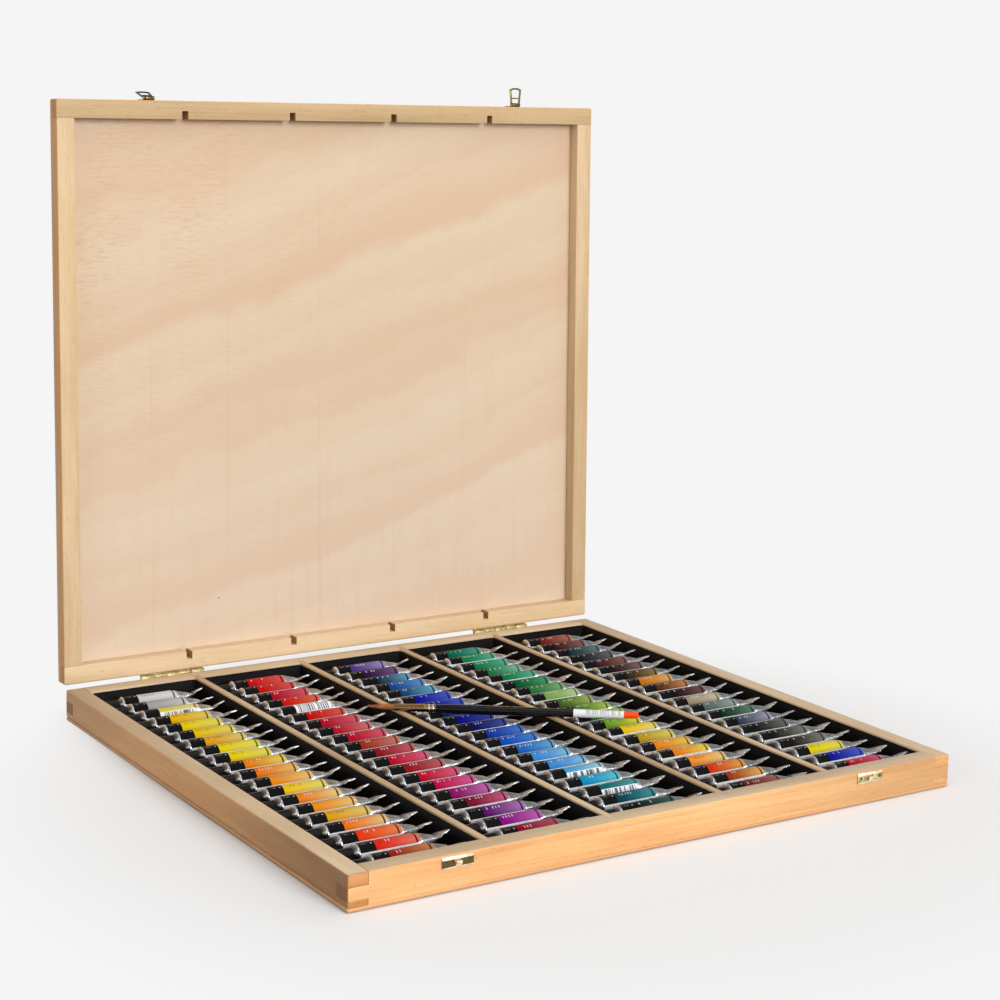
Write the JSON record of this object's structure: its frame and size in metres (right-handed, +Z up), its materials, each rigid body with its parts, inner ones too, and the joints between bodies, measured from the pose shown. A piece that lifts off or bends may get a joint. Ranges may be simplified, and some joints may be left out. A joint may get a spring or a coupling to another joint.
{
  "type": "art supply box",
  "caption": "Shallow wooden paint box, lid open on brass hinges, with bays of metal paint tubes in black trays, loop catches and a brush.",
  "frame": {"origin": "centre of the underside of the base's bottom panel", "axes": "+X to the right along the front, +Y to the back where the hinges are, +Z up"},
  "size_m": [0.5, 0.4931, 0.5013],
  "materials": {
    "base_wood": "satin varnish, warm orange tan",
    "divider_wood": "raw, grey beige",
    "lid_wood": "satin varnish, pale beige",
    "plywood": "raw veneer, pinkish beige",
    "brass": "dull, slightly tarnished",
    "hinge_steel": "drawn wire",
    "tray_plastic": "thin formed sheet, satin",
    "tube_metal": "satin, printed with a coloured band",
    "cap_plastic": "moulded, ribbed",
    "brush_hair": "dry natural hair",
    "ferrule_metal": "polished, crimped",
    "handle_lacquer": "gloss lacquer, black with an orange dipped end",
    "sleeve_paper": "plain white paper sleeve"
  },
  "bodies": {
    "base": {"base_front_wall": "base_wood", "base_back_wall": "base_wood", "base_left_wall": "base_wood", "base_right_wall": "base_wood", "base_bottom_panel": "plywood", "divider_1": "divider_wood", "divider_2": "divider_wood", "divider_3": "divider_wood", "divider_4": "divider_wood", "keeper_left": "brass", "keeper_right": "brass", "keeper_nails": "brass", "base_hinge_leaf_left": "brass", "base_hinge_leaf_right": "brass", "base_hinge_screws": "brass", "hinge_pins": "hinge_steel"},
    "lid": {"lid_front_rail": "lid_wood", "lid_back_rail": "lid_wood", "lid_left_rail": "lid_wood", "lid_right_rail": "lid_wood", "lid_panel": "plywood", "lid_hinge_leaf_left": "brass", "lid_hinge_leaf_right": "brass", "lid_hinge_screws": "brass", "catch_plate_left": "brass", "catch_plate_right": "brass", "catch_nails": "brass", "catch_pins": "brass"},
    "catch_loop_left": {"catch_loop_left": "brass"},
    "catch_loop_right": {"catch_loop_right": "brass"},
    "tray_1": {"tray_1": "tray_plastic"},
    "tray_2": {"tray_2": "tray_plastic"},
    "tray_3": {"tray_3": "tray_plastic"},
    "tray_4": {"tray_4": "tray_plastic"},
    "tray_5": {"tray_5": "tray_plastic"},
    "tubes_1": {"tubes_1": "tube_metal", "caps_1": "cap_plastic"},
    "tubes_2": {"tubes_2": "tube_metal", "caps_2": "cap_plastic"},
    "tubes_3": {"tubes_3": "tube_metal", "caps_3": "cap_plastic"},
    "tubes_4": {"tubes_4": "tube_metal", "caps_4": "cap_plastic"},
    "tubes_5": {"tubes_5": "tube_metal", "caps_5": "cap_plastic"},
    "brush": {"brush_hair": "brush_hair", "brush_ferrule": "ferrule_metal", "brush_handle": "handle_lacquer", "brush_sleeve": "sleeve_paper"}
  },
  "joints": [
    {"name": "lid_hinge", "type": "hinge", "parent": "base", "child": "lid", "pos_m": [0, 0.2313, 0.0249], "axis": [-1, 0, 0], "range_deg": [-91.4, 0]},
    {"name": "catch_left", "type": "hinge", "parent": "lid", "child": "catch_loop_left", "pos_m": [-0.172, 0.24729, 0.48675], "axis": [-1, 0, 0], "range_deg": [-160, 15]},
    {"name": "catch_right", "type": "hinge", "parent": "lid", "child": "catch_loop_right", "pos_m": [0.172, 0.24729, 0.48675], "axis": [-1, 0, 0], "range_deg": [-90, 85]},
    {"name": "brush_lift", "type": "slide", "parent": "base", "child": "brush", "axis": [0, 0, 1], "range_m": [0, 0.06]},
    {"name": "tray_1_lift", "type": "slide", "parent": "base", "child": "tray_1", "axis": [0, 0, 1], "range_m": [0, 0.03]},
    {"name": "tubes_1_lift", "type": "slide", "parent": "tray_1", "child": "tubes_1", "axis": [0, 0, 1], "range_m": [0, 0.03]},
    {"name": "tray_2_lift", "type": "slide", "parent": "base", "child": "tray_2", "axis": [0, 0, 1], "range_m": [0, 0.03]},
    {"name": "tubes_2_lift", "type": "slide", "parent": "tray_2", "child": "tubes_2", "axis": [0, 0, 1], "range_m": [0, 0.02]},
    {"name": "tray_3_lift", "type": "slide", "parent": "base", "child": "tray_3", "axis": [0, 0, 1], "range_m": [0, 0.03]},
    {"name": "tubes_3_lift", "type": "slide", "parent": "tray_3", "child": "tubes_3", "axis": [0, 0, 1], "range_m": [0, 0.02]},
    {"name": "tray_4_lift", "type": "slide", "parent": "base", "child": "tray_4", "axis": [0, 0, 1], "range_m": [0, 0.03]},
    {"name": "tubes_4_lift", "type": "slide", "parent": "tray_4", "child": "tubes_4", "axis": [0, 0, 1], "range_m": [0, 0.02]},
    {"name": "tray_5_lift", "type": "slide", "parent": "base", "child": "tray_5", "axis": [0, 0, 1], "range_m": [0, 0.03]},
    {"name": "tubes_5_lift", "type": "slide", "parent": "tray_5", "child": "tubes_5", "axis": [0, 0, 1], "range_m": [0, 0.03]}
  ],
  "couplings": [
    {"joint": "tray_2_lift", "follows": "brush_lift", "ratio": 0.4},
    {"joint": "tubes_2_lift", "follows": "brush_lift", "ratio": 0.3},
    {"joint": "tray_3_lift", "follows": "brush_lift", "ratio": 0.4},
    {"joint": "tubes_3_lift", "follows": "brush_lift", "ratio": 0.3},
    {"joint": "tray_4_lift", "follows": "brush_lift", "ratio": 0.4},
    {"joint": "tubes_4_lift", "follows": "brush_lift", "ratio": 0.3}
  ]
}
